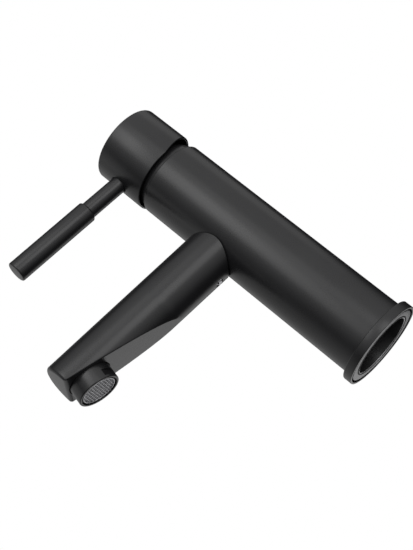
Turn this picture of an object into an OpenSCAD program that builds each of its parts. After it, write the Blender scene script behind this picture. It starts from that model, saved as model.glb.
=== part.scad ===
// Single-lever basin mixer with a straight pin lever and a level, half-cut spout.
// Frame: origin at the bottom centre of the base ring, +Z up, -Y towards the user.

/* [Base ring] */
// Reach of the base ring beyond the body
base_reach = 3.2; // [2.6:0.05:5]
// Height of the base ring
base_h = 5.3; // [4.6:0.1:7]
// Width of the lip that stands on the deck
base_lip = 1.3; // [0.7:0.1:1.5]
// Depth of the hollow behind the lip
base_hollow = 3.4; // [2:0.1:3.8]
// Rounding of the ring's top edge
base_edge = 0.6; // [0.2:0.1:1]

/* [Body] */
// Wall of the body around the nut's thread
rim_wall = 3.05; // [2.5:0.05:5]
// Step from the cartridge out to the main bore
core_step = 0.6; // [0.3:0.1:1]
// Height of the body's top edge above the deck
body_top = 154; // [145:0.1:170]
// Rounding of the body's top edge
body_edge = 0.8; // [0.3:0.1:1.2]
// Set-back of the body's foot from the deck
foot_gap = 0.3; // [0.1:0.1:0.6]
// Reach of the bare flange around the body's foot, inside the base ring
foot_flange = 0.8; // [0.5:0.1:1]
// Height of the foot's flange
foot_flange_h = 1.4; // [1:0.1:2]
// Wall between the bore and the foot's seal groove
foot_wall = 0.5; // [0.4:0.1:0.8]
// Width of the foot's seal groove
foot_groove_w = 1; // [0.8:0.1:1.4]
// Depth of the foot's seal groove
foot_groove_d = 1.6; // [1:0.1:2.5]

/* [Inlet core] */
// Height of the open cavity under the core
cavity_h = 60; // [45:1:70]
// Wall radius of each M10 x 1 hose port
port_r = 4.5; // [4.3:0.1:4.8]
// Depth of each hose port
port_depth = 12; // [9:0.5:16]
// Distance of each hose port from the middle plane
port_x = 8; // [7:0.1:9.5]
// Distance of the hose ports behind the axis
port_y = 4.5; // [3:0.1:6]
// Wall radius of the M8 stud hole
stud_r = 3.4; // [3.2:0.1:3.7]
// Depth over which the inlet passages shift to the cartridge's
passage_bend = 4; // [3:0.5:8]
// Depth of the stud hole
stud_depth = 20; // [14:0.5:24]
// Distance of the stud hole in front of the axis
stud_y = 9.5; // [9:0.1:11]

/* [Cartridge] */
// Outer radius of the cartridge housing
cart_r = 17.5; // [17:0.1:20]
// Wall of the cartridge housing
cart_wall = 2.2; // [1.8:0.1:2.5]
// Height of the cartridge base's flange
cart_flange_h = 2; // [1.5:0.1:3]
// Height of the cartridge base's spigot
cart_spigot_h = 3; // [2:0.1:4]
// Height of the fixed ceramic disc
fixed_disc_h = 4; // [3:0.1:5]
// Height of the moving ceramic disc
moving_disc_h = 3; // [2.5:0.1:4]
// Margin around the moving ceramic disc at the end of its travel
disc_margin = 0.77; // [0.4:0.01:1.2]
// Height of the disc carrier
carrier_h = 7; // [6.2:0.1:8]
// Depth of the guide flats on the carrier
carrier_cut = 1.3; // [1:0.1:2]
// Depth of the rotor's lugs beside the carrier
lug_h = 5; // [3:0.1:6]
// Width of the rotor's lugs
lug_w = 12; // [8:0.5:14]
// Height of the rotor's flange
rotor_flange_h = 2; // [1.5:0.1:3]
// Radius of the rotor's neck
rotor_r = 10.75; // [10.4:0.05:11]
// Wall of the housing's neck
neck_wall = 2.4; // [2:0.1:2.8]
// Thickness of the housing's shoulder
shoulder_wall = 1.6; // [1.2:0.1:2.4]
// Height of the housing's neck
neck_h = 16; // [15.5:0.1:17]
// Depth of the pivot pin below the neck's top
pivot_depth = 5; // [4.5:0.1:5.5]
// Radius of the pivot pin
pivot_r = 1.75; // [1.5:0.05:2]
// Radius of the water passages
passage_r = 3; // [2.5:0.1:3.3]
// Distance of the inlet passages from the middle plane
passage_x = 6; // [5.5:0.1:6.5]
// Distance of the inlet passages behind the axis
passage_y = 4.5; // [4:0.1:5]
// Distance of the outlet passage in front of the axis
outlet_y = 7; // [6.5:0.1:8]
// Step by which the fixed disc's ports are narrower than the passages
port_step = 0.4; // [0.2:0.1:0.8]
// Depth of the mixing pocket in the moving disc
pocket_depth = 1.2; // [0.8:0.1:1.8]
// Wall around the mixing pocket
pocket_wall = 4.5; // [4:0.1:6]
// Forward shift of the mixing pocket
pocket_shift = 2; // [1:0.1:3]

/* [Nut and dome cover] */
// Reach of the cartridge nut's thread beyond the cartridge
nut_reach = 1.9; // [1.5:0.1:2.5]
// Depth of the nut's thread in the body
nut_thread_h = 5.2; // [4.5:0.1:6]
// Height of the nut's collar above the body
nut_collar_h = 4.7; // [4:0.1:5]
// Step from the nut's thread in to its collar
nut_ledge = 2.1; // [1.8:0.1:2.5]
// Set-back of the dome cover's round side from the body's side
dome_inset = 0.9; // [0.6:0.05:1.2]
// Depth of the dome's centre below the body's top edge
dome_drop = 4; // [3:0.1:4.2]
// Height of the dome cover
dome_h = 11.2; // [10.8:0.1:11.4]
// Gap between the cartridge's neck and the dome cover
dome_mouth_gap = 1; // [0.6:0.1:1.5]

/* [Handle] */
// Reach of the handle cap beyond the body
cap_reach = 0.9; // [0.8:0.05:2.5]
// Height of the handle cap
cap_h = 32.7; // [31.5:0.1:36]
// Gap between the body's top edge and the cap's rim
cap_gap = 3.4; // [2.9:0.1:4]
// Side wall of the handle cap
cap_wall = 1.2; // [1:0.05:1.2]
// Roof thickness of the handle cap
cap_roof = 3; // [2:0.1:4]
// Rounding of the cap's top edge
cap_edge = 0.9; // [0.4:0.1:1.2]
// Slope of the relief under the cap's rear rim
relief_angle = 13; // [12.5:0.5:18]
// Distance of the relief's start behind the axis
relief_y = 0; // [0:0.5:2]
// Radius of the hub inside the cap
hub_r = 8.5; // [7:0.1:9]
// Height of the hub above the dome cover
hub_gap = 4.5; // [4.2:0.1:6]
// Height of the lever's block above the dome cover
block_gap = 1.4; // [1:0.1:2]
// Wall of the lever's block beside its thread
block_wall = 3.2; // [2:0.1:4]
// Gap over the spindle's top
spindle_gap = 1; // [0.5:0.1:2]
// Depth of the spindle's block below the pivot
spindle_drop = 6; // [5:0.1:8]
// Room around the leaning spindle
lean_gap = 0.8; // [0.6:0.1:1.2]
// Side of the square spindle
spindle_w = 7; // [6:0.1:7.2]
// Radius of the spindle's lower arm
arm_r = 2.2; // [1.8:0.1:2.4]
// Radius of the spindle's ball
ball_r = 2.8; // [2.5:0.1:3]
// Depth of the ball's centre below the carrier's top
ball_depth = 2.5; // [2.3:0.1:2.8]
// Lift of the handle from closed to full flow, in degrees
lift = 20; // [12:1:20]

/* [Lever] */
// Height of the lever's axis above the cap's rim
lever_up = 15.9; // [15.5:0.1:17]
// Radius of the lever rod
rod_r = 5; // [4.5:0.05:5.3]
// Distance from the body's axis to the grip's shoulder
grip_start = 47.4; // [40:0.1:60]
// Distance from the body's axis to the grip's end
grip_end = 101.5; // [90:0.5:130]
// Radius of the lever grip
grip_r = 6.2; // [5.9:0.05:7]
// Chamfer of the grip's shoulder
grip_chamfer = 0.8; // [0.3:0.1:1]
// Rounding of the grip's end
grip_edge = 0.7; // [0.3:0.1:1]
// Thread radius of the lever's stud
thread_r = 3.9; // [3.5:0.05:4]
// Depth of the rod's seat in the cap
rod_seat = 3; // [2:0.1:4]
// Radial gap of the dark ring around the rod
rod_gap = 0.2; // [0.1:0.05:0.4]
// Depth of the rod's end in the grip
rod_insert = 6; // [4:0.5:12]
// Gap between the rod's stud and the handle screw
stud_gap = 1.5; // [0.8:0.1:2]
// Length of the rod's stud
stud_len = 9; // [7:0.1:9.5]

/* [Spout] */
// Height of the spout's axis above the deck
spout_z = 103.1; // [92:0.1:106]
// Radius of the spout at the body
spout_r = 15.4; // [15.3:0.05:16.5]
// Radius of the spout at its end
spout_end_r = 14.6; // [14.3:0.05:15.5]
// Distance from the body's axis to the spout's end
spout_end = 130.5; // [127:0.5:150]
// Rounding of the spout's end
spout_edge = 1.6; // [0.4:0.1:2]
// Slope of the flat under the spout, in degrees
flat_angle = 10.6; // [9:0.1:12]
// Height of the flat's edge below the spout's axis, at the end
flat_drop = 2; // [1:0.1:3]
// Radius of the spout's waterway
water_r = 8.5; // [7.5:0.1:8.6]
// Radius of the narrow waterway over the outlet
throat_r = 6; // [5:0.1:6.2]

/* [Spout joint] */
// Outer radius of the spout nipple
nipple_r = 9; // [8.7:0.1:9.3]
// Bore of the spout nipple
nipple_bore = 6.5; // [5.5:0.1:6.8]
// Depth of the nipple in the core
nipple_in = 3; // [2:0.1:5]
// Distance from the nipple's end to its first seal
seal_end = 3; // [2:0.1:3.5]
// Distance between the nipple's seals
seal_pitch = 8.5; // [8:0.1:10]
// Length of the nipple outside the body
nipple_out = 15.5; // [14.5:0.1:18]
// Radius of the set screw under the spout
screw_r = 2.45; // [2:0.05:2.6]
// Length of the set screw
screw_len = 6.6; // [4:0.1:6.9]
// Distance of the set screw from the body's side
screw_out = 8; // [7.5:0.1:9]

/* [Outlet] */
// Outer radius of the outlet's collar
collar_r = 12; // [11.8:0.05:12]
// Length of the collar below the flat
collar_out = 9.1; // [8:0.1:11]
// Distance from the collar's axis to the spout's end
collar_back = 13.2; // [13.1:0.1:14]
// Wall of the collar at its lip
collar_lip = 1.4; // [1:0.1:1.6]
// Radius of the collar's thread in the spout
collar_thread_r = 11; // [10.8:0.1:11.2]
// Depth of the thread in the spout
collar_thread_h = 7; // [6:0.1:8]
// Depth of the open recess around the collar
recess_depth = 2; // [1:0.1:3]
// Width of the open recess around the collar
recess_gap = 0.55; // [0.4:0.05:0.6]
// Depth of the wrench flats on the collar
wrench_cut = 0.8; // [0.4:0.1:0.9]
// Height of the wrench flats
wrench_h = 3.9; // [3:0.1:5]
// Height of the wrench flats above the collar's lip
wrench_up = 1.4; // [1:0.1:2]
// Turn of the wrench flats from the middle plane, in degrees
wrench_turn = 47; // [0:1:90]
// Depth of the screen behind the collar's lip
screen_depth = 0.4; // [0.3:0.1:2]
// Set-back of the screen inside the collar's lip
screen_inset = 0.9; // [0.5:0.1:1.2]
// Radius of the jets' circle in the insert
jet_ring = 5; // [4.5:0.1:5.5]
// Radius of each jet
jet_r = 1.5; // [1:0.1:1.8]
// Thickness of the washer over the insert
washer_h = 1.5; // [1:0.1:2]
// Step from the insert's head to its tail
insert_step = 1.5; // [1:0.1:2]
// Thickness of the screen's ring
screen_h = 0.8; // [0.6:0.1:1.2]
// Width of the screen's ring
screen_ring = 0.7; // [0.6:0.1:1.2]
// Width of the screen's wires
wire_w = 0.35; // [0.3:0.05:0.6]
// Number of wires each way
wire_count = 11; // [7:2:13]
// Turn of the wires from the middle plane, in degrees
wire_turn = -15; // [-45:1:45]

/* [Seals and screws] */
// Section radius of the O-rings
o_ring_r = 0.45; // [0.35:0.01:0.48]
// Depth of the O-ring grooves
groove_depth = 1; // [1:0.05:1.3]
// Width of the O-ring grooves
groove_w = 1.8; // [1.2:0.1:2.2]
// Height of the groove above the body's top edge, on the nut's collar
nut_groove_up = 2.3; // [1.5:0.1:3.2]
// Height of the rotor's groove above the chamber
rotor_groove_up = 3; // [2:0.1:5]
// Width of the port seals
port_seal_w = 1.1; // [0.8:0.1:1.4]
// Height of the port seals
port_seal_h = 1.3; // [0.8:0.1:1.6]
// Share of a screw's radius that its hexagon socket takes
socket_share = 0.6; // [0.5:0.05:0.7]
// Depth of the hexagon sockets
socket_depth = 2.2; // [1.5:0.1:2.5]

/* [Fits] */
// Radial gap of a turning fit
run_gap = 0.05; // [0.02:0.01:0.08]
// Radial gap of a seated fit
seat_gap = 0.05; // [0.02:0.01:0.08]
// Gap between pieces that slide past each other
slide_gap = 0.3; // [0.2:0.05:0.35]
// Gap between the two ceramic discs
disc_gap = 0.1; // [0.05:0.05:0.2]

/* [Hidden] */
$fn = 96;

eps = 0.01;

// Radii, from the cartridge outwards
nut_r = cart_r + nut_reach;
body_r = nut_r + seat_gap + rim_wall;
base_r = body_r + base_reach;
bore_r = cart_r + core_step;
neck_r = rotor_r + run_gap + neck_wall;
nut_collar_r = nut_r - nut_ledge;
dome_r = body_r - dome_inset;
dome_mouth_r = neck_r + dome_mouth_gap;
cap_r = body_r + cap_reach;

// Cartridge levels, from the body's top edge down to its seat and up again
chamber_r = cart_r - cart_wall;
shoulder_z = body_top - nut_thread_h;
chamber_top = shoulder_z - shoulder_wall;
rotor_flange_top = chamber_top - slide_gap;
rotor_flange_z = rotor_flange_top - rotor_flange_h;
carrier_top = rotor_flange_z - slide_gap;
carrier_z = carrier_top - carrier_h;
moving_disc_z = carrier_z - moving_disc_h;
fixed_disc_top = moving_disc_z - disc_gap;
fixed_disc_z = fixed_disc_top - fixed_disc_h;
spigot_z = fixed_disc_z - cart_spigot_h;
seat_z = spigot_z - cart_flange_h;
neck_top = shoulder_z + neck_h;
pivot_z = neck_top - pivot_depth;
ball_z = carrier_top - ball_depth;
arm_len = pivot_z - ball_z;
travel = arm_len * sin(lift);
disc_y = travel / 2;
moving_disc_r = chamber_r - disc_y - disc_margin;
carrier_flat = moving_disc_r - carrier_cut;

// Handle levels
cap_rim = body_top + cap_gap;
cap_top = cap_rim + cap_h;
cap_in = cap_r - cap_wall;
roof_z = cap_top - cap_roof;
lever_z = cap_rim + lever_up;
hub_z = body_top + dome_h + hub_gap;
block_z = body_top + dome_h + block_gap;
block_w = 2 * (thread_r + block_wall);
spindle_top = roof_z - spindle_gap;
rod_face = cap_r - rod_seat;
screw_face = spindle_w / 2 + seat_gap;

// Spout levels
flat_z = spout_z - flat_drop;
collar_y = spout_end - collar_back;
collar_z = flat_z - collar_back * tan(flat_angle);
water_end = collar_y - collar_r - 12;
water_z = spout_z + 1.3;
throat_z = spout_z + 2.8;
insert_r = collar_r - collar_lip - seat_gap;
screen_r = collar_r - collar_lip - screen_inset;
thread_top = recess_depth + collar_thread_h;
nut_top = body_top + nut_collar_h;
nipple_end = body_r + nipple_out;
nipple_seal_at = [nipple_end - seal_end, nipple_end - seal_end - seal_pitch];

// Round bar along +Z with a rounded upper edge, as a lathe profile
module rounded_bar(r, h, edge) {
    rotate_extrude()
        union() {
            square([r - edge, h]);
            square([r, h - edge]);
            translate([r - edge, h - edge]) intersection() {
                circle(edge, $fn = 48);
                square(edge);
            }
        }
}

// Ring around +Z between two heights
module ring(r_in, r_out, z0, z1) {
    translate([0, 0, z0]) difference() {
        cylinder(r = r_out, h = z1 - z0);
        translate([0, 0, -eps]) cylinder(r = r_in, h = z1 - z0 + 2 * eps);
    }
}

// Groove around +Z in a bar of radius r
module groove(r, z) {
    ring(r - groove_depth, r + 1, z - groove_w / 2, z + groove_w / 2);
}

// O-ring in the groove of a bar of radius r
module o_ring(r, z) {
    translate([0, 0, z]) rotate_extrude() translate([r - groove_depth / 2, 0]) circle(o_ring_r, $fn = 24);
}

// Hexagon socket in the -Z end of a screw, or its +Z end when up is 1
module socket(r, z, up = 0) {
    translate([0, 0, z - (up ? socket_depth : 1)])
        cylinder(r = r * socket_share, h = socket_depth + 1, $fn = 6);
}

// Drill along +Z between two heights
module drill(r, z0, z1) {
    translate([0, 0, z0]) cylinder(r = r, h = z1 - z0);
}

// Puts +Z of its children along -Y, towards the user, at the height z
module forward(z) {
    translate([0, 0, z]) rotate([90, 0, 0]) children();
}

// Places its children in the outlet's frame: +Z points back into the spout
module at_outlet() {
    translate([0, -collar_y, collar_z]) rotate([-flat_angle, 0, 0]) children();
}

// Places its children at the three water passages of the cartridge
module at_passages() {
    for (side = [-1, 1]) translate([side * passage_x, passage_y, 0]) children();
    translate([0, -outlet_y, 0]) children();
}

module base_ring() {
    color([0.06, 0.06, 0.065]) difference() {
        rounded_bar(base_r, base_h, base_edge);
        drill(body_r + seat_gap, -1, base_h + 1);
        drill(base_r - base_lip, -1, base_hollow);
    }
}

module base_seal() {
    groove_r = bore_r + foot_wall;
    color([0.09, 0.09, 0.09]) ring(groove_r + seat_gap, groove_r + foot_groove_w - seat_gap,
                                   foot_gap / 2, foot_gap + foot_groove_d);
}

module body_shell() {
    groove_r = bore_r + foot_wall;
    color([0.06, 0.06, 0.065]) difference() {
        union() {
            translate([0, 0, foot_gap]) rounded_bar(body_r, body_top - foot_gap, body_edge);
            drill(body_r + foot_flange, foot_gap, foot_gap + foot_flange_h);
        }
        drill(bore_r, -1, seat_z);
        drill(cart_r + seat_gap, seat_z - 1, body_top + 1);
        drill(nut_r + seat_gap, shoulder_z - 1, body_top + 1);
        ring(groove_r, groove_r + foot_groove_w, 0, foot_gap + foot_groove_d);
        forward(spout_z) drill(nipple_r + seat_gap, 0, body_r + 1);
    }
}

module inlet_core() {
    color([0.72, 0.6, 0.36]) difference() {
        drill(bore_r - seat_gap, cavity_h, seat_z);
        for (side = [-1, 1]) {
            translate([side * port_x, port_y, 0]) drill(port_r, cavity_h - 1, cavity_h + port_depth);
            translate([side * (port_x + passage_x) / 2, (port_y + passage_y) / 2, 0])
                drill(passage_r - port_step, cavity_h + port_depth - 1, seat_z - passage_bend + 1);
            translate([side * passage_x, passage_y, 0]) drill(passage_r, seat_z - passage_bend, seat_z + 1);
        }
        translate([0, -stud_y, 0]) drill(stud_r, cavity_h - 1, cavity_h + stud_depth);
        translate([0, -outlet_y, 0]) drill(passage_r, spout_z, seat_z + 1);
        forward(spout_z) drill(nipple_bore - 1, outlet_y - 1, bore_r + 1);
        forward(spout_z) drill(nipple_r + seat_gap, bore_r - nipple_in, bore_r + 1);
    }
}

module spout_nipple() {
    color([0.72, 0.6, 0.36]) forward(spout_z) difference() {
        drill(nipple_r, bore_r - nipple_in, nipple_end);
        drill(nipple_bore, bore_r - nipple_in - 1, nipple_end + 1);
        for (at = nipple_seal_at) groove(nipple_r, at);
        ring(nipple_r - groove_depth, nipple_r + 1, body_r + screw_out - screw_r,
             body_r + screw_out + screw_r);
    }
}

module nipple_seals() {
    color([0.09, 0.09, 0.09]) forward(spout_z) for (at = nipple_seal_at) o_ring(nipple_r, at);
}

// The spout's outside: a slim cone with a rounded end, lying along -Y
module spout_bar() {
    forward(spout_z) rotate_extrude() union() {
        polygon([[0, 0], [spout_r, 0], [spout_end_r, spout_end - spout_edge],
                 [0, spout_end - spout_edge]]);
        square([spout_end_r - spout_edge, spout_end]);
        translate([spout_end_r - spout_edge, spout_end - spout_edge]) intersection() {
            circle(spout_edge, $fn = 48);
            square(spout_edge);
        }
    }
}

module spout() {
    socket_end = nipple_end + 1;
    color([0.06, 0.06, 0.065]) difference() {
        spout_bar();
        drill(body_r + seat_gap, spout_z - 2 * spout_r, spout_z + 2 * spout_r);
        translate([0, -spout_end, flat_z]) rotate([-flat_angle, 0, 0])
            translate([-2 * spout_r, -spout_r, -4 * spout_r]) cube([4 * spout_r, 2 * spout_end, 4 * spout_r]);
        forward(spout_z) drill(nipple_r + seat_gap, body_r - 5, socket_end);
        forward(water_z) drill(water_r, socket_end - 1, water_end);
        forward(throat_z) drill(throat_r, water_end - 1, collar_y);
        translate([0, -(body_r + screw_out), 0]) drill(screw_r + seat_gap, 0, spout_z);
        at_outlet() drill(collar_r + recess_gap, -1, recess_depth);
        at_outlet() drill(collar_thread_r, 0, thread_top);
    }
}

module spout_screw() {
    tip = spout_z - nipple_r + groove_depth;
    translate([0, -(body_r + screw_out), 0]) color([0.62, 0.62, 0.64]) difference() {
        drill(screw_r, tip - screw_len, tip);
        socket(screw_r, tip - screw_len);
    }
}

module outlet_collar() {
    lip_r = collar_r - collar_lip;
    color([0.06, 0.06, 0.065]) at_outlet() difference() {
        union() {
            translate([0, 0, recess_depth]) mirror([0, 0, 1])
                rounded_bar(collar_r, recess_depth + collar_out, 0.6);
            drill(collar_thread_r - seat_gap, 0, thread_top - washer_h);
        }
        drill(lip_r, -collar_out - 1, 0);
        drill(lip_r - insert_step, -1, thread_top + 1);
        for (turn = [wrench_turn, wrench_turn + 180]) rotate([0, 0, turn])
            translate([collar_r - wrench_cut, -collar_r, -collar_out + wrench_up])
                cube([5, 2 * collar_r, wrench_h]);
    }
}

module outlet_insert() {
    color([0.82, 0.82, 0.8]) at_outlet() difference() {
        union() {
            drill(insert_r, -collar_out + screen_depth + screen_h, 0);
            drill(insert_r - insert_step, -eps, thread_top - washer_h);
        }
        for (turn = [0:60:300]) rotate([0, 0, turn]) translate([jet_ring, 0, 0])
            drill(jet_r, -collar_out, thread_top);
        drill(jet_r, -collar_out, thread_top);
    }
}

module outlet_screen() {
    inner = screen_r - screen_ring;
    low = -collar_out + screen_depth;
    pitch = 2 * inner / (wire_count + 1);
    color([0.6, 0.6, 0.61]) at_outlet() {
        ring(inner, screen_r, low, low + screen_h);
        intersection() {
            drill(inner + eps, low, low + screen_h);
            rotate([0, 0, wire_turn]) union() for (i = [1:wire_count]) {
                translate([-inner + i * pitch - wire_w / 2, -inner, low + screen_h - 2 * wire_w])
                    cube([wire_w, 2 * inner, wire_w]);
                translate([-inner, -inner + i * pitch - wire_w / 2, low + screen_h - 1.5 * wire_w])
                    cube([2 * inner, wire_w, wire_w]);
            }
        }
    }
}

module outlet_washer() {
    color([0.09, 0.09, 0.09]) at_outlet()
        ring(insert_r - insert_step - 2, collar_thread_r - slide_gap, thread_top - washer_h, thread_top);
}

module cartridge_base() {
    color([0.86, 0.86, 0.84]) difference() {
        union() {
            drill(cart_r, seat_z, spigot_z);
            drill(chamber_r - seat_gap, seat_z, fixed_disc_z);
        }
        at_passages() drill(passage_r, seat_z - 1, fixed_disc_z + 1);
        at_passages() drill(passage_r + port_seal_w + seat_gap, seat_z - 1, seat_z + port_seal_h);
    }
}

module cartridge_seals() {
    color([0.09, 0.09, 0.09]) at_passages()
        ring(passage_r, passage_r + port_seal_w, seat_z, seat_z + port_seal_h);
}

module cartridge_housing() {
    color([0.86, 0.86, 0.84]) difference() {
        union() {
            drill(cart_r, spigot_z, shoulder_z);
            drill(neck_r, spigot_z, neck_top);
        }
        drill(chamber_r, spigot_z - 1, chamber_top);
        drill(rotor_r + run_gap, spigot_z, neck_top + 1);
    }
}

module fixed_disc() {
    color([0.93, 0.92, 0.88]) difference() {
        drill(chamber_r - seat_gap, fixed_disc_z, fixed_disc_top);
        at_passages() drill(passage_r - port_step, fixed_disc_z - 1, fixed_disc_top + 1);
    }
}

module cartridge_nut() {
    color([0.72, 0.6, 0.36]) difference() {
        union() {
            drill(nut_r, shoulder_z, body_top);
            drill(nut_collar_r, shoulder_z, nut_top);
        }
        drill(neck_r + seat_gap, shoulder_z - 1, nut_top + 1);
        groove(nut_collar_r, body_top + nut_groove_up);
    }
}

module dome_seal() {
    color([0.09, 0.09, 0.09]) o_ring(nut_collar_r, body_top + nut_groove_up);
}

module dome_cover() {
    color([0.06, 0.06, 0.065]) difference() {
        intersection() {
            translate([0, 0, body_top - dome_drop]) sphere(sqrt(pow(dome_r, 2) + pow(dome_drop, 2)));
            drill(dome_r + 1, body_top, body_top + dome_h);
        }
        drill(nut_collar_r + seat_gap, body_top - 1, nut_top + 0.2);
        drill(dome_mouth_r, body_top - 1, body_top + dome_h + 1);
    }
}

// Slot in the rotor, from front of the axis to behind it
module slot(front, back, z0, z1) {
    translate([-spindle_w / 2 - slide_gap, -front, z0])
        cube([spindle_w + 2 * slide_gap, front + back, z1 - z0]);
}

// Room in the rotor for the leaning spindle, and under it for the ball
module spindle_room() {
    front = (pivot_z - rotor_flange_top) * sin(lift) + arm_r + lean_gap;
    back = (neck_top - pivot_z) * sin(lift) + spindle_w / 2 + lean_gap;
    slot(front, back, rotor_flange_z - 1, neck_top + 1);
    slot(travel + ball_r + slide_gap, ball_r + slide_gap, rotor_flange_z - lug_h, rotor_flange_top);
}

module rotor() {
    flange_r = chamber_r - slide_gap;
    lug_x = carrier_flat + slide_gap;
    color([0.9, 0.9, 0.88]) difference() {
        union() {
            drill(rotor_r, rotor_flange_z, neck_top - 0.4);
            drill(flange_r, rotor_flange_z, rotor_flange_top);
            intersection() {
                drill(flange_r, rotor_flange_z - lug_h, rotor_flange_top);
                for (side = [0, 180]) rotate([0, 0, side])
                    translate([lug_x, -lug_w / 2, rotor_flange_z - lug_h]) cube([flange_r, lug_w, lug_h + 1]);
            }
        }
        spindle_room();
        translate([0, 0, pivot_z]) rotate([0, 90, 0]) drill(pivot_r, -rotor_r - 1, rotor_r + 1);
        groove(rotor_r, chamber_top + rotor_groove_up);
    }
}

module rotor_seal() {
    color([0.09, 0.09, 0.09]) o_ring(rotor_r, chamber_top + rotor_groove_up);
}

module pivot_pin() {
    color([0.62, 0.62, 0.64]) translate([0, 0, pivot_z]) rotate([0, 90, 0])
        drill(pivot_r, -rotor_r + 0.7, rotor_r - 0.7);
}

module disc_carrier() {
    pocket_y = 2 * (ball_r + slide_gap);
    color([0.86, 0.86, 0.84]) difference() {
        intersection() {
            translate([0, disc_y, 0]) drill(moving_disc_r, carrier_z, carrier_top);
            translate([-carrier_flat, -cart_r, carrier_z]) cube([2 * carrier_flat, 2 * cart_r, carrier_h]);
        }
        translate([-ball_r - slide_gap, -pocket_y / 2, ball_z - ball_r - slide_gap])
            cube([2 * (ball_r + slide_gap), pocket_y, carrier_h]);
    }
}

module moving_disc() {
    color([0.93, 0.92, 0.88]) difference() {
        translate([0, disc_y, 0]) drill(moving_disc_r, moving_disc_z, carrier_z);
        translate([0, disc_y - pocket_shift, 0])
            drill(moving_disc_r - pocket_wall, moving_disc_z - 1, moving_disc_z + pocket_depth);
    }
}

module spindle() {
    block_low = pivot_z - spindle_drop;
    color([0.62, 0.62, 0.64]) difference() {
        union() {
            translate([0, 0, ball_z]) sphere(ball_r, $fn = 48);
            drill(arm_r, ball_z, block_low + 1);
            translate([-spindle_w / 2, -spindle_w / 2, block_low])
                cube([spindle_w, spindle_w, spindle_top - block_low]);
        }
        translate([0, 0, pivot_z]) rotate([0, 90, 0])
            drill(pivot_r + run_gap, -spindle_w, spindle_w);
    }
}

module handle_cap() {
    slot = spindle_w + 2 * seat_gap;
    color([0.06, 0.06, 0.065]) difference() {
        union() {
            difference() {
                translate([0, 0, cap_rim]) rounded_bar(cap_r, cap_h, cap_edge);
                drill(cap_in, cap_rim - 1, roof_z);
            }
            drill(hub_r, hub_z, roof_z + 1);
            intersection() {
                translate([-block_w / 2, -cap_in - cap_wall / 2, block_z])
                    cube([block_w, cap_in + cap_wall / 2 - hub_r / 2, roof_z + 1 - block_z]);
                drill(cap_in + cap_wall / 2, block_z - 1, roof_z + 2);
            }
        }
        translate([-cap_r - 1, relief_y, cap_rim]) rotate([relief_angle, 0, 0])
            translate([0, 0, -cap_r]) cube([2 * cap_r + 2, 2 * cap_r, cap_r]);
        translate([-slot / 2, -slot / 2, hub_z - 5]) cube([slot, slot, spindle_top + 0.2 - hub_z + 5]);
        forward(lever_z) drill(thread_r, 0, cap_r + 1);
        forward(lever_z) drill(rod_r + rod_gap, rod_face, cap_r + 1);
    }
}

module handle_screw() {
    length = rod_face - stud_len - screw_face - stud_gap;
    color([0.62, 0.62, 0.64]) forward(lever_z) difference() {
        drill(thread_r - seat_gap, screw_face, screw_face + length);
        socket(thread_r, screw_face + length, up = 1);
    }
}

module lever_rod() {
    color([0.06, 0.06, 0.065]) forward(lever_z) union() {
        drill(rod_r, rod_face, grip_start + rod_insert);
        drill(thread_r - seat_gap, rod_face - stud_len, rod_face + 1);
    }
}

module lever_grip() {
    color([0.06, 0.06, 0.065]) forward(lever_z) difference() {
        rotate_extrude() union() {
            polygon([[0, grip_start], [grip_r - grip_chamfer, grip_start],
                     [grip_r, grip_start + grip_chamfer], [grip_r, grip_end - grip_edge],
                     [0, grip_end - grip_edge]]);
            translate([0, grip_end - 2 * grip_edge]) square([grip_r - grip_edge, 2 * grip_edge]);
            translate([grip_r - grip_edge, grip_end - grip_edge]) intersection() {
                circle(grip_edge, $fn = 48);
                square(grip_edge);
            }
        }
        drill(rod_r + seat_gap, 0, grip_start + rod_insert);
    }
}

base_ring();
base_seal();
body_shell();
inlet_core();
spout_nipple();
nipple_seals();
spout();
spout_screw();
outlet_collar();
outlet_insert();
outlet_screen();
outlet_washer();
cartridge_base();
cartridge_seals();
cartridge_housing();
fixed_disc();
cartridge_nut();
dome_seal();
dome_cover();
rotor();
rotor_seal();
pivot_pin();
disc_carrier();
moving_disc();
spindle();
handle_cap();
handle_screw();
lever_rod();
lever_grip();
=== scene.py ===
"""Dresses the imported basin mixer: finishes for every node, the detailed visible pieces, studio and camera."""
import math

import bmesh
import bpy
from mathutils import Matrix, Vector


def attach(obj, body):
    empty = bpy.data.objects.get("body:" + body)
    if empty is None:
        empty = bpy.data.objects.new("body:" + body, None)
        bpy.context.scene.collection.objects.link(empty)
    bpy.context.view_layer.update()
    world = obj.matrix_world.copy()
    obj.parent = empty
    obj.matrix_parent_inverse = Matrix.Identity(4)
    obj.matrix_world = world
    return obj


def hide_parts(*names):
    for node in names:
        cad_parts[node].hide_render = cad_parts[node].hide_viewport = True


MM = 0.001

# ---- camera ----
CAMERA_AZIMUTH = 68.36
CAMERA_ELEVATION = -19.885
CAMERA_ROLL = 309.343
CAMERA_DISTANCE = 605.3 * MM
CAMERA_AIM = Vector((0, -31.864, 96.485)) * MM
CAMERA_LENS = 73.05

# ---- studio ----
AMBIENT = 0.008
# Pale glows around the object: direction, the cosine at which each begins, strength
GLOWS = [((0.96, 0.21, 0.18), -0.2, 0.87),
         ((-0.78, -0.57, 0.27), 0.35, 0.5)]
# Softboxes: name, direction (the camera's right, up and forward), distance and size in metres, watts
SOFTBOXES = [("key", (-0.8, 0.9, -0.8), 0.9, 0.45, 0.74),
             ("left", (-0.6, 0.5, -0.9), 0.9, 0.45, 0.6),
             ("front_right", (0.3, 0.52, -0.8), 0.9, 0.45, 0.91),
             ("top", (-0.22, 0.76, -0.61), 0.9, 0.45, 0.36),
             ("top_back", (0.28, 0.82, 0.5), 0.9, 0.45, 0.22),
             ("side", (-0.97, -0.23, 0), 0.9, 0.45, 0.17),
             ("low_back", (0.47, -0.56, 0.68), 0.84, 0.56, 0.74)]

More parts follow.
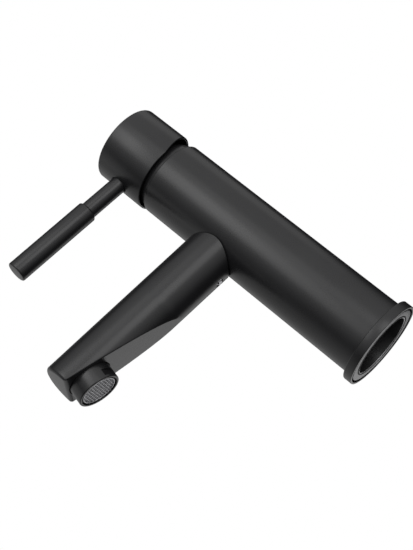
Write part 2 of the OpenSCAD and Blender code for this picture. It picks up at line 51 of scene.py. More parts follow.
# ---- sizes of the visible pieces, in metres ----
BASE_R = 25.7 * MM
BASE_H = 5.3 * MM
BASE_LIP_R = 24.4 * MM
BASE_HOLLOW = 3.4 * MM
BODY_R = 22.5 * MM
BODY_TOP = 154 * MM
FOOT_Z = 0.3 * MM
FOOT_R = 23.3 * MM
FOOT_TOP = 1.7 * MM
GROOVE_R = 19.6 * MM
GROOVE_IN_R = 18.6 * MM
GROOVE_TOP = 1.9 * MM
BORE_R = 18.1 * MM
SEAT_Z = 125.5 * MM
CARTRIDGE_BORE_R = 17.55 * MM
SHOULDER_Z = 148.8 * MM
NUT_BORE_R = 19.45 * MM
DOME_R = 21.6 * MM
DOME_DROP = 4 * MM
DOME_TOP = 165.2 * MM
DOME_MOUTH_R = 14.2 * MM
NUT_COLLAR_R = 17.35 * MM
NUT_COLLAR_TOP = 158.9 * MM
CAP_R = 23.4 * MM
CAP_RIM = 157.4 * MM
CAP_TOP = 190.1 * MM
CAP_ROOF = 187.1 * MM
CAP_WALL = 1.2 * MM
RELIEF_Y = 0
RELIEF_SLOPE = math.radians(13)
HUB_R = 8.5 * MM
HUB_Z = 169.7 * MM
BLOCK_Z = 166.6 * MM
BLOCK_W = 14.2 * MM
SPINDLE_SLOT = 7.1 * MM
SPINDLE_TOP = 186.3 * MM
STUD_THREAD_R = 3.9 * MM
LEVER_Z = 173.3 * MM
ROD_HOLE_R = 5.2 * MM
ROD_FACE = 20.4 * MM
ROD_R = 5 * MM
ROD_END = 53.4 * MM
STUD_END = 11.4 * MM
GRIP_R = 6.2 * MM
GRIP_START = 47.4 * MM
GRIP_END = 101.5 * MM
GRIP_CHAMFER = 0.8 * MM
SPOUT_Z = 103.1 * MM
SPOUT_R = 15.4 * MM
SPOUT_END_R = 14.6 * MM
SPOUT_END = 130.5 * MM
SPOUT_FLAT_Z = 101.1 * MM
SPOUT_EDGE = 1.7 * MM
SPOUT_SIDE_EDGE = 0.9 * MM
SADDLE_R = BODY_R + 0.12 * MM
FLAT_SLOPE = math.radians(10.6)
NIPPLE_BORE_R = 9.05 * MM
NIPPLE_BORE_END = 39 * MM
WATER_Z = 104.4 * MM
WATER_R = 8.5 * MM
WATER_END = 93.3 * MM
THROAT_Z = 105.9 * MM
THROAT_R = 6 * MM
SCREW_Y = 30.5 * MM
SCREW_R = 2.45 * MM
SCREW_TIP = 95.1 * MM
SCREW_LEN = 6.6 * MM
SOCKET_R = 0.6 * SCREW_R
OUTLET_Y = 117.3 * MM
OUTLET_Z = SPOUT_FLAT_Z - (SPOUT_END - OUTLET_Y) * math.tan(FLAT_SLOPE)
COLLAR_R = 12 * MM
COLLAR_OUT = 9.1 * MM
COLLAR_LIP = 1.4 * MM
COLLAR_THREAD_R = 11 * MM
WRENCH_TURN = math.radians(53)
WRENCH_UP = 1.4 * MM
WRENCH_CUT = 1.2 * MM
WRENCH_H = 3.9 * MM
RECESS_R = 12.55 * MM
RECESS_DEPTH = 2 * MM
THREAD_TOP = 9 * MM
SCREEN_TOP = -7.9 * MM
SCREEN_R = 9.7 * MM
SCREEN_IN_R = 9 * MM
SCREEN_LOW = -8.7 * MM
RIB_R = 0.24 * MM
WIRE_R = 0.15 * MM
WIRE_PITCH = 1.5 * MM
WIRE_TURN = math.radians(75)
RIB_COUNT = 11
# Gap of a seated fit
SEAT_GAP = 0.05 * MM
# Heights between which the spout's root is cut
ROOT_LOW = 80 * MM
ROOT_HIGH = 125 * MM
# Step from the collar's lip in to its bore, and height of the washer above its tail
INSERT_STEP = 1.5 * MM
WASHER_H = 1.5 * MM
# Distance within which two spots count as one
TINY = 0.003 * MM
# Sides of a large round piece
FINE = 192

# ---- shades and grain of the coat and of the bare foot, with a painted highlight on the foot's inner lip ----
COAT_STOPS = [(0.3, (0.0105, 0.0105, 0.0115)), (0.7, (0.0135, 0.0135, 0.0145))]
COAT_ROUGHNESS = 0.235
COAT_CLOUD = 22 * MM
COAT_GRAIN = 0.35 * MM
COAT_SPECKLE = 1.6 * MM
FOOT_STOPS = [(0.2, (0.08, 0.08, 0.085)), (0.8, (0.24, 0.24, 0.245))]
# Painted highlight: the foot's thin inner lip, inside the groove, is coloured lighter than the turned face
FOOT_LIP_HIGHLIGHT_COLOUR = (0.5, 0.5, 0.51)

# ---- places of the pieces that don't stand on +Z ----
FORWARD = Matrix.Rotation(math.radians(90), 4, "X")
SPOUT_PLACE = Matrix.Translation((0, 0, SPOUT_Z)) @ FORWARD
LEVER_PLACE = Matrix.Translation((0, 0, LEVER_Z)) @ FORWARD
SCREW_PLACE = Matrix.Translation((0, -SCREW_Y, 0))
OUTLET_PLACE = Matrix.Translation((0, -OUTLET_Y, OUTLET_Z)) @ Matrix.Rotation(-FLAT_SLOPE, 4, "X")


class Wire:
    """A value in a node tree. Sums and products of wires add their Math nodes."""

    def __init__(self, tree, socket):
        self.tree = tree
        self.socket = socket

    def math(self, operation, *others):
        return self.tree.node("ShaderNodeMath", {"operation": operation}, self, *others)

    def __add__(self, other):
        return self.math("ADD", other)

    def __rsub__(self, other):
        return self.tree.node("ShaderNodeMath", {"operation": "SUBTRACT"}, other, self)

    def __mul__(self, other):
        return self.math("MULTIPLY", other)

    def __pow__(self, other):
        return self.math("POWER", other)

    __radd__ = __add__
    __rmul__ = __mul__


class Tree:
    """Adds nodes to a material's or world's tree, one method for every kind."""

    def __init__(self, owner):
        owner.use_nodes = True
        self.tree = owner.node_tree
        self.tree.nodes.clear()

    def node(self, kind, settings=None, *values, out=0, **named):
        made = self.tree.nodes.new(kind)
        for name, value in (settings or {}).items():
            if name == "stops":
                self.set_stops(made.color_ramp, value)
            else:
                setattr(made, name, value)
        sockets = list(enumerate(values)) + [(k.replace("_", " "), v) for k, v in named.items()]
        for key, value in sockets:
            self.feed(made.inputs[key], value)
        return Wire(self, made.outputs[out]) if made.outputs else None

    def set_stops(self, ramp, stops):
        while len(ramp.elements) < len(stops):
            ramp.elements.new(0.5)
        for element, (place, colour) in zip(ramp.elements, stops):
            element.position = place
            element.color = (*colour, 1)

    def feed(self, socket, value):
        if isinstance(value, Wire):
            self.tree.links.new(value.socket, socket)
        elif socket.type == "RGBA" and len(value) == 3:
            socket.default_value = (*value, 1)
        else:
            socket.default_value = value


# ---- finishes ----

def new_finish(name):
    """An empty material named for its finish, with its tree."""
    material = bpy.data.materials.new(name)
    return material, Tree(material)


def object_coords(tree):
    return tree.node("ShaderNodeTexCoord", out=3)


def noise(tree, coords, size, detail=2.0, rough=0.5):
    """Soft noise with features of the given size in metres."""
    return tree.node("ShaderNodeTexNoise", None, coords, Scale=1 / size, Detail=detail, Roughness=rough)


def bumps(tree, height, strength, distance):
    return tree.node("ShaderNodeBump", None, Height=height, Strength=strength, Distance=distance)


def surface(tree, **values):
    """Ends a tree in a Principled surface with the given sockets."""
    shader = tree.node("ShaderNodeBsdfPrincipled", None, **values)
    tree.node("ShaderNodeOutputMaterial", None, shader)


def coat_layers(tree, coords):
    """The black coat's colour, roughness and relief."""
    cloud = noise(tree, coords, COAT_CLOUD, detail=3)
    grain = noise(tree, coords, COAT_GRAIN, detail=3, rough=0.6)
    speckle = noise(tree, coords, COAT_SPECKLE, detail=2)
    colour = tree.node("ShaderNodeValToRGB", {"stops": COAT_STOPS}, cloud)
    return colour, COAT_ROUGHNESS + 0.05 * cloud + 0.04 * grain, grain + 0.5 * speckle


def matt_black_coat(name="matt_black_coat"):
    material, tree = new_finish(name)
    colour, roughness, relief = coat_layers(tree, object_coords(tree))
    surface(tree, Base_Color=colour, Roughness=roughness, Normal=bumps(tree, relief, 0.15, 0.03 * MM))
    return material


def coated_body(name="coated_body"):
    """The black coat, left off the machined foot under the body; the foot's thin inner lip is coloured lighter
    as a painted highlight.
    """
    material, tree = new_finish(name)
    coords = object_coords(tree)
    across, along, height = split(tree, coords)
    radius = (across * across + along * along) ** 0.5
    foot = between(height, -MM, FOOT_Z + 0.3 * MM) * between(radius, BORE_R - 0.1 * MM, FOOT_R + MM)
    colour, roughness, relief = coat_layers(tree, coords)
    lathe_marks = tree.node("ShaderNodeTexWave", {"wave_type": "RINGS", "rings_direction": "Z"}, coords,
                            Scale=0.3 / MM, Distortion=0.6, Detail=2.0, Detail_Scale=30.0, out=1)
    turned_face = tree.node("ShaderNodeValToRGB", {"stops": FOOT_STOPS}, lathe_marks)
    # Painted highlight: the thin lip inside the groove gets a lighter metal colour than the turned face
    lip_highlight_mask = radius.math("LESS_THAN", GROOVE_IN_R + 0.02 * MM)
    metal = mix_colour(tree, lip_highlight_mask, turned_face, FOOT_LIP_HIGHLIGHT_COLOUR)
    surface(tree, Base_Color=mix_colour(tree, foot, colour, metal), Metallic=foot,
            Roughness=(1 - foot) * roughness + foot * (0.3 + 0.1 * lathe_marks),
            Normal=bumps(tree, (1 - foot) * relief + foot * lathe_marks, 0.15, 0.03 * MM))
    return material


def split(tree, coords):
    """The three coordinates of a place, as separate values."""
    return [tree.node("ShaderNodeSeparateXYZ", None, coords, out=axis) for axis in range(3)]


def between(value, low, high):
    """1 where low < value < high, and 0 elsewhere."""
    return value.math("GREATER_THAN", low) * value.math("LESS_THAN", high)


def mix_colour(tree, factor, first, second):
    return tree.node("ShaderNodeMixRGB", None, factor, first, second)


def bare_metal(name, colour, roughness, grain_size):
    """Plain metal with a fine, uneven polish."""
    material, tree = new_finish(name)
    coords = object_coords(tree)
    grain = noise(tree, coords, grain_size, detail=4, rough=0.65)
    shade = tree.node("ShaderNodeValToRGB", {"stops": [(0.25, tuple(0.85 * c for c in colour)),
                                                       (0.75, colour)]}, grain)
    surface(tree, Base_Color=shade, Metallic=1.0, Roughness=roughness + 0.12 * grain,
            Normal=bumps(tree, grain, 0.15, 0.02 * MM))
    return material


def soft_material(name, colour, roughness, grain_size):
    """Rubber, moulded plastic or ceramic: one colour with a faint grain."""
    material, tree = new_finish(name)
    coords = object_coords(tree)
    grain = noise(tree, coords, grain_size, detail=3)
    shade = tree.node("ShaderNodeValToRGB", {"stops": [(0.3, tuple(0.9 * c for c in colour)),
                                                       (0.7, colour)]}, grain)
    surface(tree, Base_Color=shade, Roughness=roughness + 0.08 * grain,
            Normal=bumps(tree, grain, 0.2, 0.02 * MM))
    return material


def dress(frame, finish, *names):
    for name in names:
        node = frame["nodes"][name]
        node.data.materials.clear()
        node.data.materials.append(finish)


# ---- modelling ----

def alone(piece):
    """Makes a piece the only selected object and the active one."""
    bpy.ops.object.select_all(action="DESELECT")
    piece.select_set(True)
    bpy.context.view_layer.objects.active = piece


def edit(piece):
    """Opens a piece's mesh with nothing selected."""
    alone(piece)
    bpy.ops.object.mode_set(mode="EDIT")
    bpy.ops.mesh.select_mode(type="EDGE")
    bpy.ops.mesh.select_all(action="DESELECT")


def close():
    bpy.ops.object.mode_set(mode="OBJECT")


def pick_edges(piece, wanted):
    """Selects the edges of an open mesh where wanted is true of both ends."""
    mesh = bmesh.from_edit_mesh(piece.data)
    for edge in mesh.edges:
        edge.select_set(all(wanted(end.co) for end in edge.verts))
    bmesh.update_edit_mesh(piece.data)


def on_ring(spot, radius, height):
    return abs(math.hypot(spot.x, spot.y) - radius) < TINY and abs(spot.z - height) < TINY


def turned(name, profile, sides=128, closed=False):
    """A turned piece about +Z: a circle extruded from each (radius, height) to the next."""
    radius, height = profile[0]
    bpy.ops.mesh.primitive_circle_add(vertices=sides, radius=radius, location=(0, 0, height))
    piece = bpy.context.object
    piece.name = name
    set_down(piece)
    edit(piece)
    bpy.ops.mesh.select_all(action="SELECT")
    for next_radius, next_height in profile[1:] + (profile[:1] if closed else []):
        bpy.ops.mesh.extrude_region()
        ratio = next_radius / radius
        bpy.ops.transform.resize(value=(ratio, ratio, 1), center_override=(0, 0, 0))
        bpy.ops.transform.translate(value=(0, 0, next_height - height))
        radius, height = next_radius, next_height
    if not closed:
        bpy.ops.mesh.edge_face_add()
        pick_edges(piece, lambda spot: on_ring(spot, *profile[0]))
        bpy.ops.mesh.edge_face_add()
    bpy.ops.mesh.select_all(action="SELECT")
    bpy.ops.mesh.remove_doubles(threshold=TINY)
    bpy.ops.mesh.normals_make_consistent(inside=False)
    close()
    return piece


def block(name, low, high):
    """A box between two corners."""
    bpy.ops.mesh.primitive_cube_add(size=1)
    piece = bpy.context.object
    piece.name = name
    size = [b - a for a, b in zip(low, high)]
    middle = [(a + b) / 2 for a, b in zip(low, high)]
    set_down(piece, Matrix.Translation(middle) @ Matrix.Diagonal((*size, 1)))
    return piece


def turned_tool(name, profile, place=Matrix(), sides=96):
    """A turned piece in its place, used to drill or to cut."""
    piece = turned(name, profile, sides)
    set_down(piece, place)
    return piece


def rod(name, radius, low, high, place=Matrix(), sides=96):
    """A plain bar between two heights, used to drill or to cut."""
    return turned_tool(name, [(radius, low), (radius, high)], place, sides)


def set_down(piece, place=None):
    """Turns and moves the mesh itself, so that the object stays at the origin."""
    alone(piece)
    if place is not None:
        piece.matrix_world = place
    bpy.ops.object.transform_apply(location=True, rotation=True, scale=True)


def soften(piece, width, steps, wanted):
    """Rounds the edges where wanted is true of both ends."""
    edit(piece)
    pick_edges(piece, wanted)
    bpy.ops.mesh.bevel(offset=width, segments=steps, affect="EDGES")
    close()


def soften_rings(piece, width, steps, *rings):
    soften(piece, width, steps, lambda spot: any(on_ring(spot, *ring) for ring in rings))


def slice_off(piece, spot, normal):
    """Cuts away what lies beyond a plane and closes the cut."""
    edit(piece)
    bpy.ops.mesh.select_all(action="SELECT")
    bpy.ops.mesh.bisect(plane_co=spot, plane_no=normal, use_fill=True, clear_outer=True)
    close()


def combine(piece, operation, *tools):
    """Cuts each tool out of the piece, or joins it on, and throws the tool away."""
    for tool in tools:
        change = piece.modifiers.new(operation.lower(), "BOOLEAN")
        change.operation = operation
        change.solver = "EXACT"
        change.object = tool
        alone(piece)
        bpy.ops.object.modifier_apply(modifier=change.name)
        bpy.data.objects.remove(tool)


def finish_piece(piece, finish, body, slot, *nodes, smooth=32):
    """Shades a finished piece, gives it its material and its body, and hides the nodes it stands for."""
    alone(piece)
    bpy.ops.object.shade_smooth_by_angle(angle=math.radians(smooth))
    piece.data.materials.clear()
    piece.data.materials.append(finish)
    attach(piece, body)
    if nodes:
        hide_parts(*nodes)


# ---- pieces ----

def model_base_ring(finish):
    """The ring on the deck: a soft top edge, and a lip around the hollow underneath."""
    bore = BODY_R + SEAT_GAP
    ring = turned("deck_ring", [(BASE_R, BASE_H), (BASE_R, 0), (BASE_LIP_R, 0), (BASE_LIP_R, BASE_HOLLOW),
                                (bore, BASE_HOLLOW), (bore, BASE_H)], FINE, closed=True)
    soften_rings(ring, 0.6 * MM, 6, (BASE_R, BASE_H))
    soften_rings(ring, 0.25 * MM, 4, (BASE_R, 0), (BASE_LIP_R, 0))
    finish_piece(ring, finish, "body", "black_coat", "base_ring")


def model_body(finish):
    """The round body: its soft top edge, its foot's flange and groove, its bores and the nipple's hole."""
    body = turned("round_body", [(BODY_R, BODY_TOP), (BODY_R, FOOT_TOP), (FOOT_R, FOOT_TOP), (FOOT_R, FOOT_Z),
                                 (GROOVE_R, FOOT_Z), (GROOVE_R, GROOVE_TOP), (GROOVE_IN_R, GROOVE_TOP),
                                 (GROOVE_IN_R, FOOT_Z), (BORE_R, FOOT_Z), (BORE_R, SEAT_Z),
                                 (CARTRIDGE_BORE_R, SEAT_Z), (CARTRIDGE_BORE_R, SHOULDER_Z),
                                 (NUT_BORE_R, SHOULDER_Z), (NUT_BORE_R, BODY_TOP)], FINE, closed=True)
    soften_rings(body, 0.8 * MM, 6, (BODY_R, BODY_TOP))
    soften_rings(body, 0.2 * MM, 4, (FOOT_R, FOOT_Z), (BORE_R, FOOT_Z))
    combine(body, "DIFFERENCE", rod("nipple_hole", NIPPLE_BORE_R, 10 * MM, BODY_R + MM, SPOUT_PLACE))
    finish_piece(body, finish, "body", "black_coat", "body_shell")


def model_dome_cover(finish):
    """The domed cover between the body and the cap, open in the middle for the cartridge."""
    curve_r = math.hypot(DOME_R, DOME_DROP)
    profile = [(DOME_MOUTH_R, NUT_COLLAR_TOP), (NUT_COLLAR_R, NUT_COLLAR_TOP), (NUT_COLLAR_R, BODY_TOP)]
    for step in range(17):
        height = BODY_TOP + (DOME_TOP - BODY_TOP) * step / 16
        profile.append((math.sqrt(curve_r ** 2 - (height - BODY_TOP + DOME_DROP) ** 2), height))
    profile.append((DOME_MOUTH_R, DOME_TOP))
    dome = turned("dome", profile, FINE, closed=True)
    soften_rings(dome, 0.3 * MM, 4, (DOME_MOUTH_R, DOME_TOP), profile[-2])
    finish_piece(dome, finish, "body", "black_coat", "dome_cover")


def model_lever_rod(finish):
    """The slim rod with the stud that screws into the cap."""
    stud_r = STUD_THREAD_R - SEAT_GAP
    lever = turned("rod_and_stud",
                   [(stud_r, STUD_END), (stud_r, ROD_FACE), (ROD_R, ROD_FACE), (ROD_R, ROD_END)])
    soften_rings(lever, 0.3 * MM, 3, (stud_r, STUD_END), (ROD_R, ROD_END))
    set_down(lever, LEVER_PLACE)
    finish_piece(lever, finish, "handle", "black_coat", "lever_rod")


def model_lever_grip(finish):
    """The thicker grip pushed over the rod's end, with a chamfered shoulder and a rounded tip."""
    bore = ROD_R + SEAT_GAP
    shoulder = [(GRIP_R - GRIP_CHAMFER, GRIP_START), (GRIP_R, GRIP_START + GRIP_CHAMFER)]
    grip = turned("pin_grip", [(bore, ROD_END), (bore, GRIP_START), *shoulder, (GRIP_R, GRIP_END)])
    soften_rings(grip, 0.9 * MM, 6, (GRIP_R, GRIP_END))
    soften_rings(grip, 0.2 * MM, 3, *shoulder)
    set_down(grip, LEVER_PLACE)
    finish_piece(grip, finish, "handle", "black_coat", "lever_grip", smooth=25)


def model_spout(finish):
    """The tapered spout: its sloping flat, rounded edges, bores, outlet recess and screw hole."""
    spout = spout_bar()
    combine(spout, "DIFFERENCE",
            rod("body_side", SADDLE_R, ROOT_LOW, ROOT_HIGH, sides=256),
            seam_rebate(0.6 * MM, 1.8 * MM),
            saddle_cove(0.45 * MM, 0.45 * MM),
            rod("nipple_bore", NIPPLE_BORE_R, 15 * MM, NIPPLE_BORE_END, SPOUT_PLACE),
            rod("waterway", WATER_R, NIPPLE_BORE_END - MM, WATER_END, at_height(WATER_Z)),
            rod("throat", THROAT_R, WATER_END - MM, OUTLET_Y, at_height(THROAT_Z)),
            rod("screw_hole", SCREW_R + SEAT_GAP, ROOT_LOW, SPOUT_Z, SCREW_PLACE),
            rod("recess", RECESS_R, -3 * MM, RECESS_DEPTH, OUTLET_PLACE, 128),
            rod("outlet_thread", COLLAR_THREAD_R, 0, THREAD_TOP, OUTLET_PLACE))
    finish_piece(spout, finish, "body", "black_coat", "spout")


def spout_bar():
    """The solid spout, bridged from hoops along its length, with its end rounded over and closed."""
    # Each station is a distance from the axis and an inset; the flat begins after the first three
    stations = [(12 * MM, 0), (40 * MM, 0), (60.5 * MM, 0)]
    stations += [(63 * MM + 4 * MM * step, 0) for step in range(17)]
    straight_end = SPOUT_END - SPOUT_EDGE
    for step in range(9):
        turn = math.radians(90) * step / 8
        stations.append((straight_end + SPOUT_EDGE * math.sin(turn), SPOUT_EDGE * (1 - math.cos(turn))))
    stations.append((SPOUT_END + 0.01 * MM, SPOUT_EDGE + 0.15 * MM))
    hoops = [bent_bar("hoop", spout_hoop(reach, inset), 0, closed=True) for reach, inset in stations]
    bar = hoops[0]
    for hoop in hoops[1:]:
        hoop.select_set(True)
    bar.select_set(True)
    bpy.context.view_layer.objects.active = bar
    bpy.ops.object.join()
    bar.name = "spout_bar"
    edit(bar)
    bpy.ops.mesh.select_mode(type="EDGE")
    for (first, _), (second, _) in zip(stations, stations[1:]):
        bpy.ops.mesh.select_all(action="DESELECT")
        pick_edges(bar, lambda spot: abs(spot.y + first) < TINY or abs(spot.y + second) < TINY)
        bpy.ops.mesh.bridge_edge_loops()
    for reach in (stations[0][0], stations[-1][0]):
        bpy.ops.mesh.select_all(action="DESELECT")
        pick_edges(bar, lambda spot: abs(spot.y + reach) < TINY)
        bpy.ops.mesh.edge_face_add()
    bpy.ops.mesh.select_all(action="SELECT")
    bpy.ops.mesh.normals_make_consistent(inside=False)
    close()
    return bar


def spout_hoop(reach, inset):
    """The spout's outline at a distance from the axis: a circle, or one with its flat and two corners."""
    radius = SPOUT_R + (SPOUT_END_R - SPOUT_R) * reach / SPOUT_END - inset
    rise = (SPOUT_END - reach) * math.tan(FLAT_SLOPE)
    drop = SPOUT_Z - SPOUT_FLAT_Z + rise - inset / math.cos(FLAT_SLOPE)
    if drop >= radius:
        corners = [(radius * math.sin(math.tau * step / 128), -radius * math.cos(math.tau * step / 128))
                   for step in range(128)]
        return [(across, -reach, SPOUT_Z + up) for across, up in corners]
    corner_r = max(SPOUT_SIDE_EDGE - inset, 0.2 * MM)
    corner_x = math.sqrt((radius - corner_r) ** 2 - (drop - corner_r) ** 2)
    start = math.atan2(corner_r - drop, corner_x)
    half = [(corner_x - 0.15 * MM, -drop)]
    for step in range(7):
        turn = -math.pi / 2 + (start + math.pi / 2) * step / 6
        half.append((corner_x + corner_r * math.cos(turn), corner_r - drop + corner_r * math.sin(turn)))
    for step in range(1, 49):
        turn = start + (math.pi / 2 - start) * step / 48
        half.append((radius * math.cos(turn), radius * math.sin(turn)))
    whole = half + [(-across, up) for across, up in reversed(half[:-1])]
    return [(across, -reach, SPOUT_Z + up) for across, up in whole]


def seam_rebate(gap, depth):
    """A thin shell round the body that leaves a gap between it and the spout's outer edge."""
    shell = rod("seam_shell", SADDLE_R + gap, ROOT_LOW, ROOT_HIGH, sides=256)
    combine(shell, "DIFFERENCE", rod("seam_core", SPOUT_R - depth, 0, 60 * MM, SPOUT_PLACE, 128))
    return shell


def saddle_cove(radius, gap):
    """A bent bar along the line where the spout meets the body, to hollow out its sharp edge."""
    line = []
    for step in range(144):
        turn = math.tau * step / 144
        across = SPOUT_R * math.cos(turn)
        line.append((across, -math.sqrt((SADDLE_R + gap) ** 2 - across ** 2),
                     SPOUT_Z + SPOUT_R * math.sin(turn)))
    return bent_bar("saddle_cove", line, radius, closed=True, fineness=3)


def at_height(height):
    return Matrix.Translation((0, 0, height)) @ FORWARD


def model_handle_cap(finish):
    """The cap: a turned cup with soft edges, its rear rim cut back, and the lever's block inside."""
    inner = CAP_R - CAP_WALL
    cap = turned("cap_cup", [(inner, CAP_ROOF), (inner, CAP_RIM), (CAP_R, CAP_RIM), (CAP_R, CAP_TOP)], 144)
    soften_rings(cap, 0.9 * MM, 6, (CAP_R, CAP_TOP))
    edge_spot = Vector((0, RELIEF_Y, CAP_RIM))
    below = Vector((0, math.sin(RELIEF_SLOPE), -math.cos(RELIEF_SLOPE)))
    slice_off(cap, edge_spot, below)
    soften(cap, 0.28 * MM, 3,
           lambda spot: abs((spot - edge_spot).dot(below)) < TINY and spot.y > RELIEF_Y - TINY
           or abs(spot.z - CAP_RIM) < TINY)
    reach = inner + CAP_WALL / 2
    lever_block = block("lever_block", (-BLOCK_W / 2, -reach, BLOCK_Z),
                        (BLOCK_W / 2, -HUB_R / 2, CAP_ROOF + MM))
    combine(lever_block, "INTERSECT", rod("block_limit", reach, BLOCK_Z - MM, CAP_ROOF + 2 * MM, sides=144))
    combine(cap, "UNION", rod("hub", HUB_R, HUB_Z, CAP_ROOF + MM), lever_block)
    half = SPINDLE_SLOT / 2
    combine(cap, "DIFFERENCE",
            block("spindle_slot", (-half, -half, HUB_Z - 5 * MM), (half, half, SPINDLE_TOP)),
            rod("stud_bore", STUD_THREAD_R, 0, CAP_R, LEVER_PLACE),
            turned_tool("rod_hole", [(ROD_HOLE_R, ROD_FACE), (ROD_HOLE_R, CAP_R - 0.45 * MM),
                                     (ROD_HOLE_R + 0.6 * MM, CAP_R + 0.15 * MM)], LEVER_PLACE))
    finish_piece(cap, finish, "handle", "black_coat", "handle_cap")


def model_outlet_collar(finish):
    """The outlet's collar: a rounded lip, two wrench flats and the thread that goes into the spout."""
    lip_r = COLLAR_R - COLLAR_LIP
    tail_r = COLLAR_THREAD_R - SEAT_GAP
    bore_r = lip_r - INSERT_STEP
    tail = THREAD_TOP - WASHER_H
    collar = turned("collar_ring", [(COLLAR_R, RECESS_DEPTH), (COLLAR_R, -COLLAR_OUT), (lip_r, -COLLAR_OUT),
                                    (lip_r, 0), (bore_r, 0), (bore_r, tail), (tail_r, tail),
                                    (tail_r, RECESS_DEPTH)], 144, closed=True)
    soften_rings(collar, 0.6 * MM, 6, (COLLAR_R, -COLLAR_OUT))
    soften_rings(collar, 0.3 * MM, 6, (lip_r, -COLLAR_OUT), (COLLAR_R, RECESS_DEPTH))
    flats = []
    low = -COLLAR_OUT + WRENCH_UP
    for turn in (WRENCH_TURN, WRENCH_TURN + math.pi):
        flat = block("wrench_flat", (COLLAR_R - WRENCH_CUT, -COLLAR_R, low),
                     (COLLAR_R + 5 * MM, COLLAR_R, low + WRENCH_H))
        set_down(flat, Matrix.Rotation(turn, 4, "Z"))
        flats.append(flat)
    combine(collar, "DIFFERENCE", *flats)
    set_down(collar, OUTLET_PLACE)
    finish_piece(collar, finish, "body", "black_coat", "outlet_collar", smooth=17)


def model_outlet_screen(finish):
    """The outlet's screen: a rounded ring that holds stout ribs, with thin wires across behind them."""
    screen = turned("screen", [(SCREEN_IN_R, SCREEN_LOW), (SCREEN_R, SCREEN_LOW), (SCREEN_R, SCREEN_TOP),
                               (SCREEN_IN_R, SCREEN_TOP)], 128, closed=True)
    soften_rings(screen, 0.25 * MM, 4, (SCREEN_IN_R, SCREEN_LOW), (SCREEN_R, SCREEN_LOW))
    numbers = range(-(RIB_COUNT // 2), RIB_COUNT // 2 + 1)
    bars = [screen_rib(number) for number in numbers] + [screen_wire(number) for number in numbers]
    alone(screen)
    for bar in bars:
        bar.select_set(True)
    bpy.ops.object.join()
    edit(screen)
    bpy.ops.mesh.select_all(action="SELECT")
    bpy.ops.mesh.remove_doubles(threshold=0.001 * MM)
    bpy.ops.mesh.normals_make_consistent(inside=False)
    close()
    set_down(screen, OUTLET_PLACE @ Matrix.Rotation(WIRE_TURN, 4, "Z"))
    finish_piece(screen, finish, "body", "steel", "outlet_screen", smooth=50)


def screen_rib(number):
    """One straight rib of the screen."""
    across = number * WIRE_PITCH
    half = math.sqrt(SCREEN_IN_R ** 2 - across ** 2) + 0.15 * MM
    height = SCREEN_LOW + 0.42 * MM
    return bent_bar("rib", [(across, -half, height), (across, half, height)], RIB_R, fineness=2)


def screen_wire(number):
    """One thin wire behind the ribs, bent a little towards the gaps between them."""
    along = number * WIRE_PITCH
    half = math.sqrt(SCREEN_IN_R ** 2 - along ** 2) + 0.1 * MM
    steps = 2 * max(4, round(half / WIRE_PITCH * 4))
    points = []
    for step in range(steps + 1):
        across = half * (2 * step / steps - 1)
        lift = SCREEN_LOW + 0.68 * MM + 0.15 * MM * math.cos(math.tau * across / WIRE_PITCH)
        points.append((across, along, lift))
    return bent_bar("wire", points, WIRE_R)


def bent_bar(name, points, radius, closed=False, fineness=1):
    """A round bar along a line of points, made as a curve and turned into a mesh."""
    curve = bpy.data.curves.new(name, "CURVE")
    curve.dimensions = "3D"
    curve.bevel_depth = radius
    curve.bevel_resolution = fineness
    curve.use_fill_caps = not closed
    path = curve.splines.new("POLY")
    path.points.add(len(points) - 1)
    path.use_cyclic_u = closed
    for point, spot in zip(path.points, points):
        point.co = (*spot, 1)
    bar = bpy.data.objects.new(name, curve)
    bpy.context.scene.collection.objects.link(bar)
    alone(bar)
    bpy.ops.object.convert(target="MESH")
    return bpy.context.object


def model_spout_screw(finish):
    """The hexagon-socket set screw in its hole under the spout."""
    low = SCREW_TIP - SCREW_LEN
    screw = turned("set_screw_body", [(SCREW_R, low), (SCREW_R, SCREW_TIP)], 64)
    soften_rings(screw, 0.35 * MM, 3, (SCREW_R, low), (SCREW_R, SCREW_TIP))
    hexagon = [(SOCKET_R, low - MM), (SOCKET_R, low + 2 * MM), (0.2 * SOCKET_R, low + 2.6 * MM)]
    mouth = [(1.35 * SOCKET_R, low - 0.1 * MM), (0.85 * SOCKET_R, low + 0.5 * MM)]
    combine(screw, "DIFFERENCE", turned_tool("hexagon", hexagon, sides=6),
            turned_tool("mouth", mouth, sides=64))
    set_down(screw, SCREW_PLACE)
    finish_piece(screw, finish, "body", "steel", "spout_screw")


# ---- studio ----

def camera_axes():
    """The camera's place, and its directions right, up and forward."""
    azimuth, elevation = math.radians(CAMERA_AZIMUTH), math.radians(CAMERA_ELEVATION)
    back = Vector((math.sin(azimuth) * math.cos(elevation), -math.cos(azimuth) * math.cos(elevation),
                   math.sin(elevation)))
    level = (-back).cross(Vector((0, 0, 1))).normalized()
    upright = level.cross(-back)
    roll = math.radians(CAMERA_ROLL)
    right = math.cos(roll) * level + math.sin(roll) * upright
    up = math.cos(roll) * upright - math.sin(roll) * level
    return CAMERA_AIM + CAMERA_DISTANCE * back, right, up, -back


def add_camera():
    spot, right, up, forward = camera_axes()
    turn = Matrix((right, up, -forward)).transposed().to_4x4()
    data = bpy.data.cameras.new("camera")
    data.lens = CAMERA_LENS
    data.sensor_width = 36
    data.clip_start = 0.01
    camera = bpy.data.objects.new("camera", data)
    camera.matrix_world = Matrix.Translation(spot) @ turn
    bpy.context.scene.collection.objects.link(camera)
    bpy.context.scene.camera = camera


def add_softbox(name, direction, distance, size, power):
    """A square light that looks at the camera's aim from a direction in the camera's axes."""
    _, right, up, forward = camera_axes()
    towards = (direction[0] * right + direction[1] * up + direction[2] * forward).normalized()
    data = bpy.data.lights.new(name, "AREA")
    data.size = size
    data.energy = power
    light = bpy.data.objects.new(name, data)
    spot = CAMERA_AIM + distance * towards
    light.matrix_world = Matrix.Translation(spot) @ towards.to_track_quat("Z", "Y").to_matrix().to_4x4()
    bpy.context.scene.collection.objects.link(light)


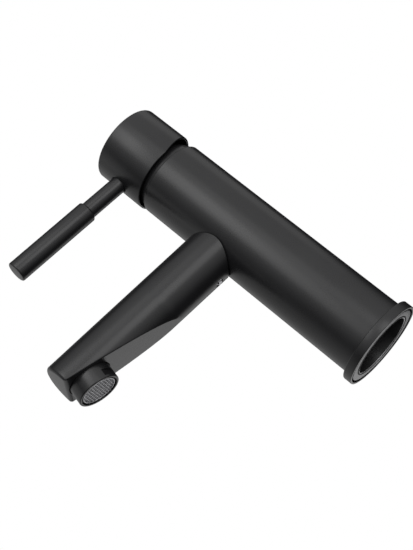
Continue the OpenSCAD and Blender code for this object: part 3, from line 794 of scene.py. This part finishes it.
def add_world():
    """A white surround to the eye. As a light it is dim, with wide pale glows from some directions."""
    world = bpy.data.worlds.new("studio")
    bpy.context.scene.world = world
    tree = Tree(world)
    sight = tree.node("ShaderNodeTexCoord", out=0)
    glow = AMBIENT
    for direction, start, strength in GLOWS:
        facing = tree.node("ShaderNodeVectorMath", {"operation": "DOT_PRODUCT"}, sight,
                           tuple(Vector(direction).normalized()), out=1)
        glow = glow + tree.node("ShaderNodeMapRange", {"interpolation_type": "SMOOTHSTEP"}, facing,
                                start, 1.0, 0.0, strength)
    light = tree.node("ShaderNodeBackground", None, (1, 1, 1), glow)
    seen = tree.node("ShaderNodeBackground", None, (1, 1, 1), 1.0)
    ray = tree.node("ShaderNodeLightPath", out=0)
    both = tree.node("ShaderNodeMixShader", None, ray, light, seen)
    tree.node("ShaderNodeOutputWorld", None, both)


# ---- the scene ----

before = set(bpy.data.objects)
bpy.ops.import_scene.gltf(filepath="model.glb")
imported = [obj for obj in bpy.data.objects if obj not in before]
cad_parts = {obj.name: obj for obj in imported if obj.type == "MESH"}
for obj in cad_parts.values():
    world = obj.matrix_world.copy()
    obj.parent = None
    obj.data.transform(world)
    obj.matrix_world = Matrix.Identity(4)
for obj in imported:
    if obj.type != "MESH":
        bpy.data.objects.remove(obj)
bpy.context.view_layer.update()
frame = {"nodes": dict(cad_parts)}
bpy.context.scene.view_settings.view_transform = "Standard"

black = matt_black_coat()
brass = bare_metal("brass", (0.72, 0.55, 0.28), 0.28, 1.5 * MM)
steel = bare_metal("satin_steel", (0.58, 0.58, 0.6), 0.3, 0.6 * MM)
rubber = soft_material("black_rubber", (0.02, 0.02, 0.02), 0.62, 0.8 * MM)
dark_plastic = soft_material("dark_plastic", (0.03, 0.03, 0.032), 0.5, 1.2 * MM)
plastic = soft_material("pale_plastic", (0.75, 0.75, 0.72), 0.45, 1.2 * MM)
ceramic = soft_material("ceramic", (0.85, 0.84, 0.8), 0.12, 2.5 * MM)

dress(frame, black, "base_ring", "body_shell", "spout", "outlet_collar", "dome_cover", "handle_cap",
      "lever_rod", "lever_grip")
dress(frame, brass, "inlet_core", "spout_nipple", "cartridge_nut")
dress(frame, steel, "spout_screw", "outlet_screen", "pivot_pin", "spindle", "handle_screw")
dress(frame, rubber, "base_seal", "nipple_seals", "outlet_washer", "cartridge_seals", "dome_seal",
      "rotor_seal")
dress(frame, dark_plastic, "outlet_insert")
dress(frame, plastic, "cartridge_base", "cartridge_housing", "rotor", "disc_carrier")
dress(frame, ceramic, "fixed_disc", "moving_disc")

model_base_ring(black)
model_body(coated_body())
model_dome_cover(black)
model_lever_rod(black)
model_lever_grip(black)
model_spout(black)
model_handle_cap(black)
model_outlet_collar(black)
model_outlet_screen(steel)
model_spout_screw(steel)

add_camera()
add_world()
for softbox in SOFTBOXES:
    add_softbox(*softbox)
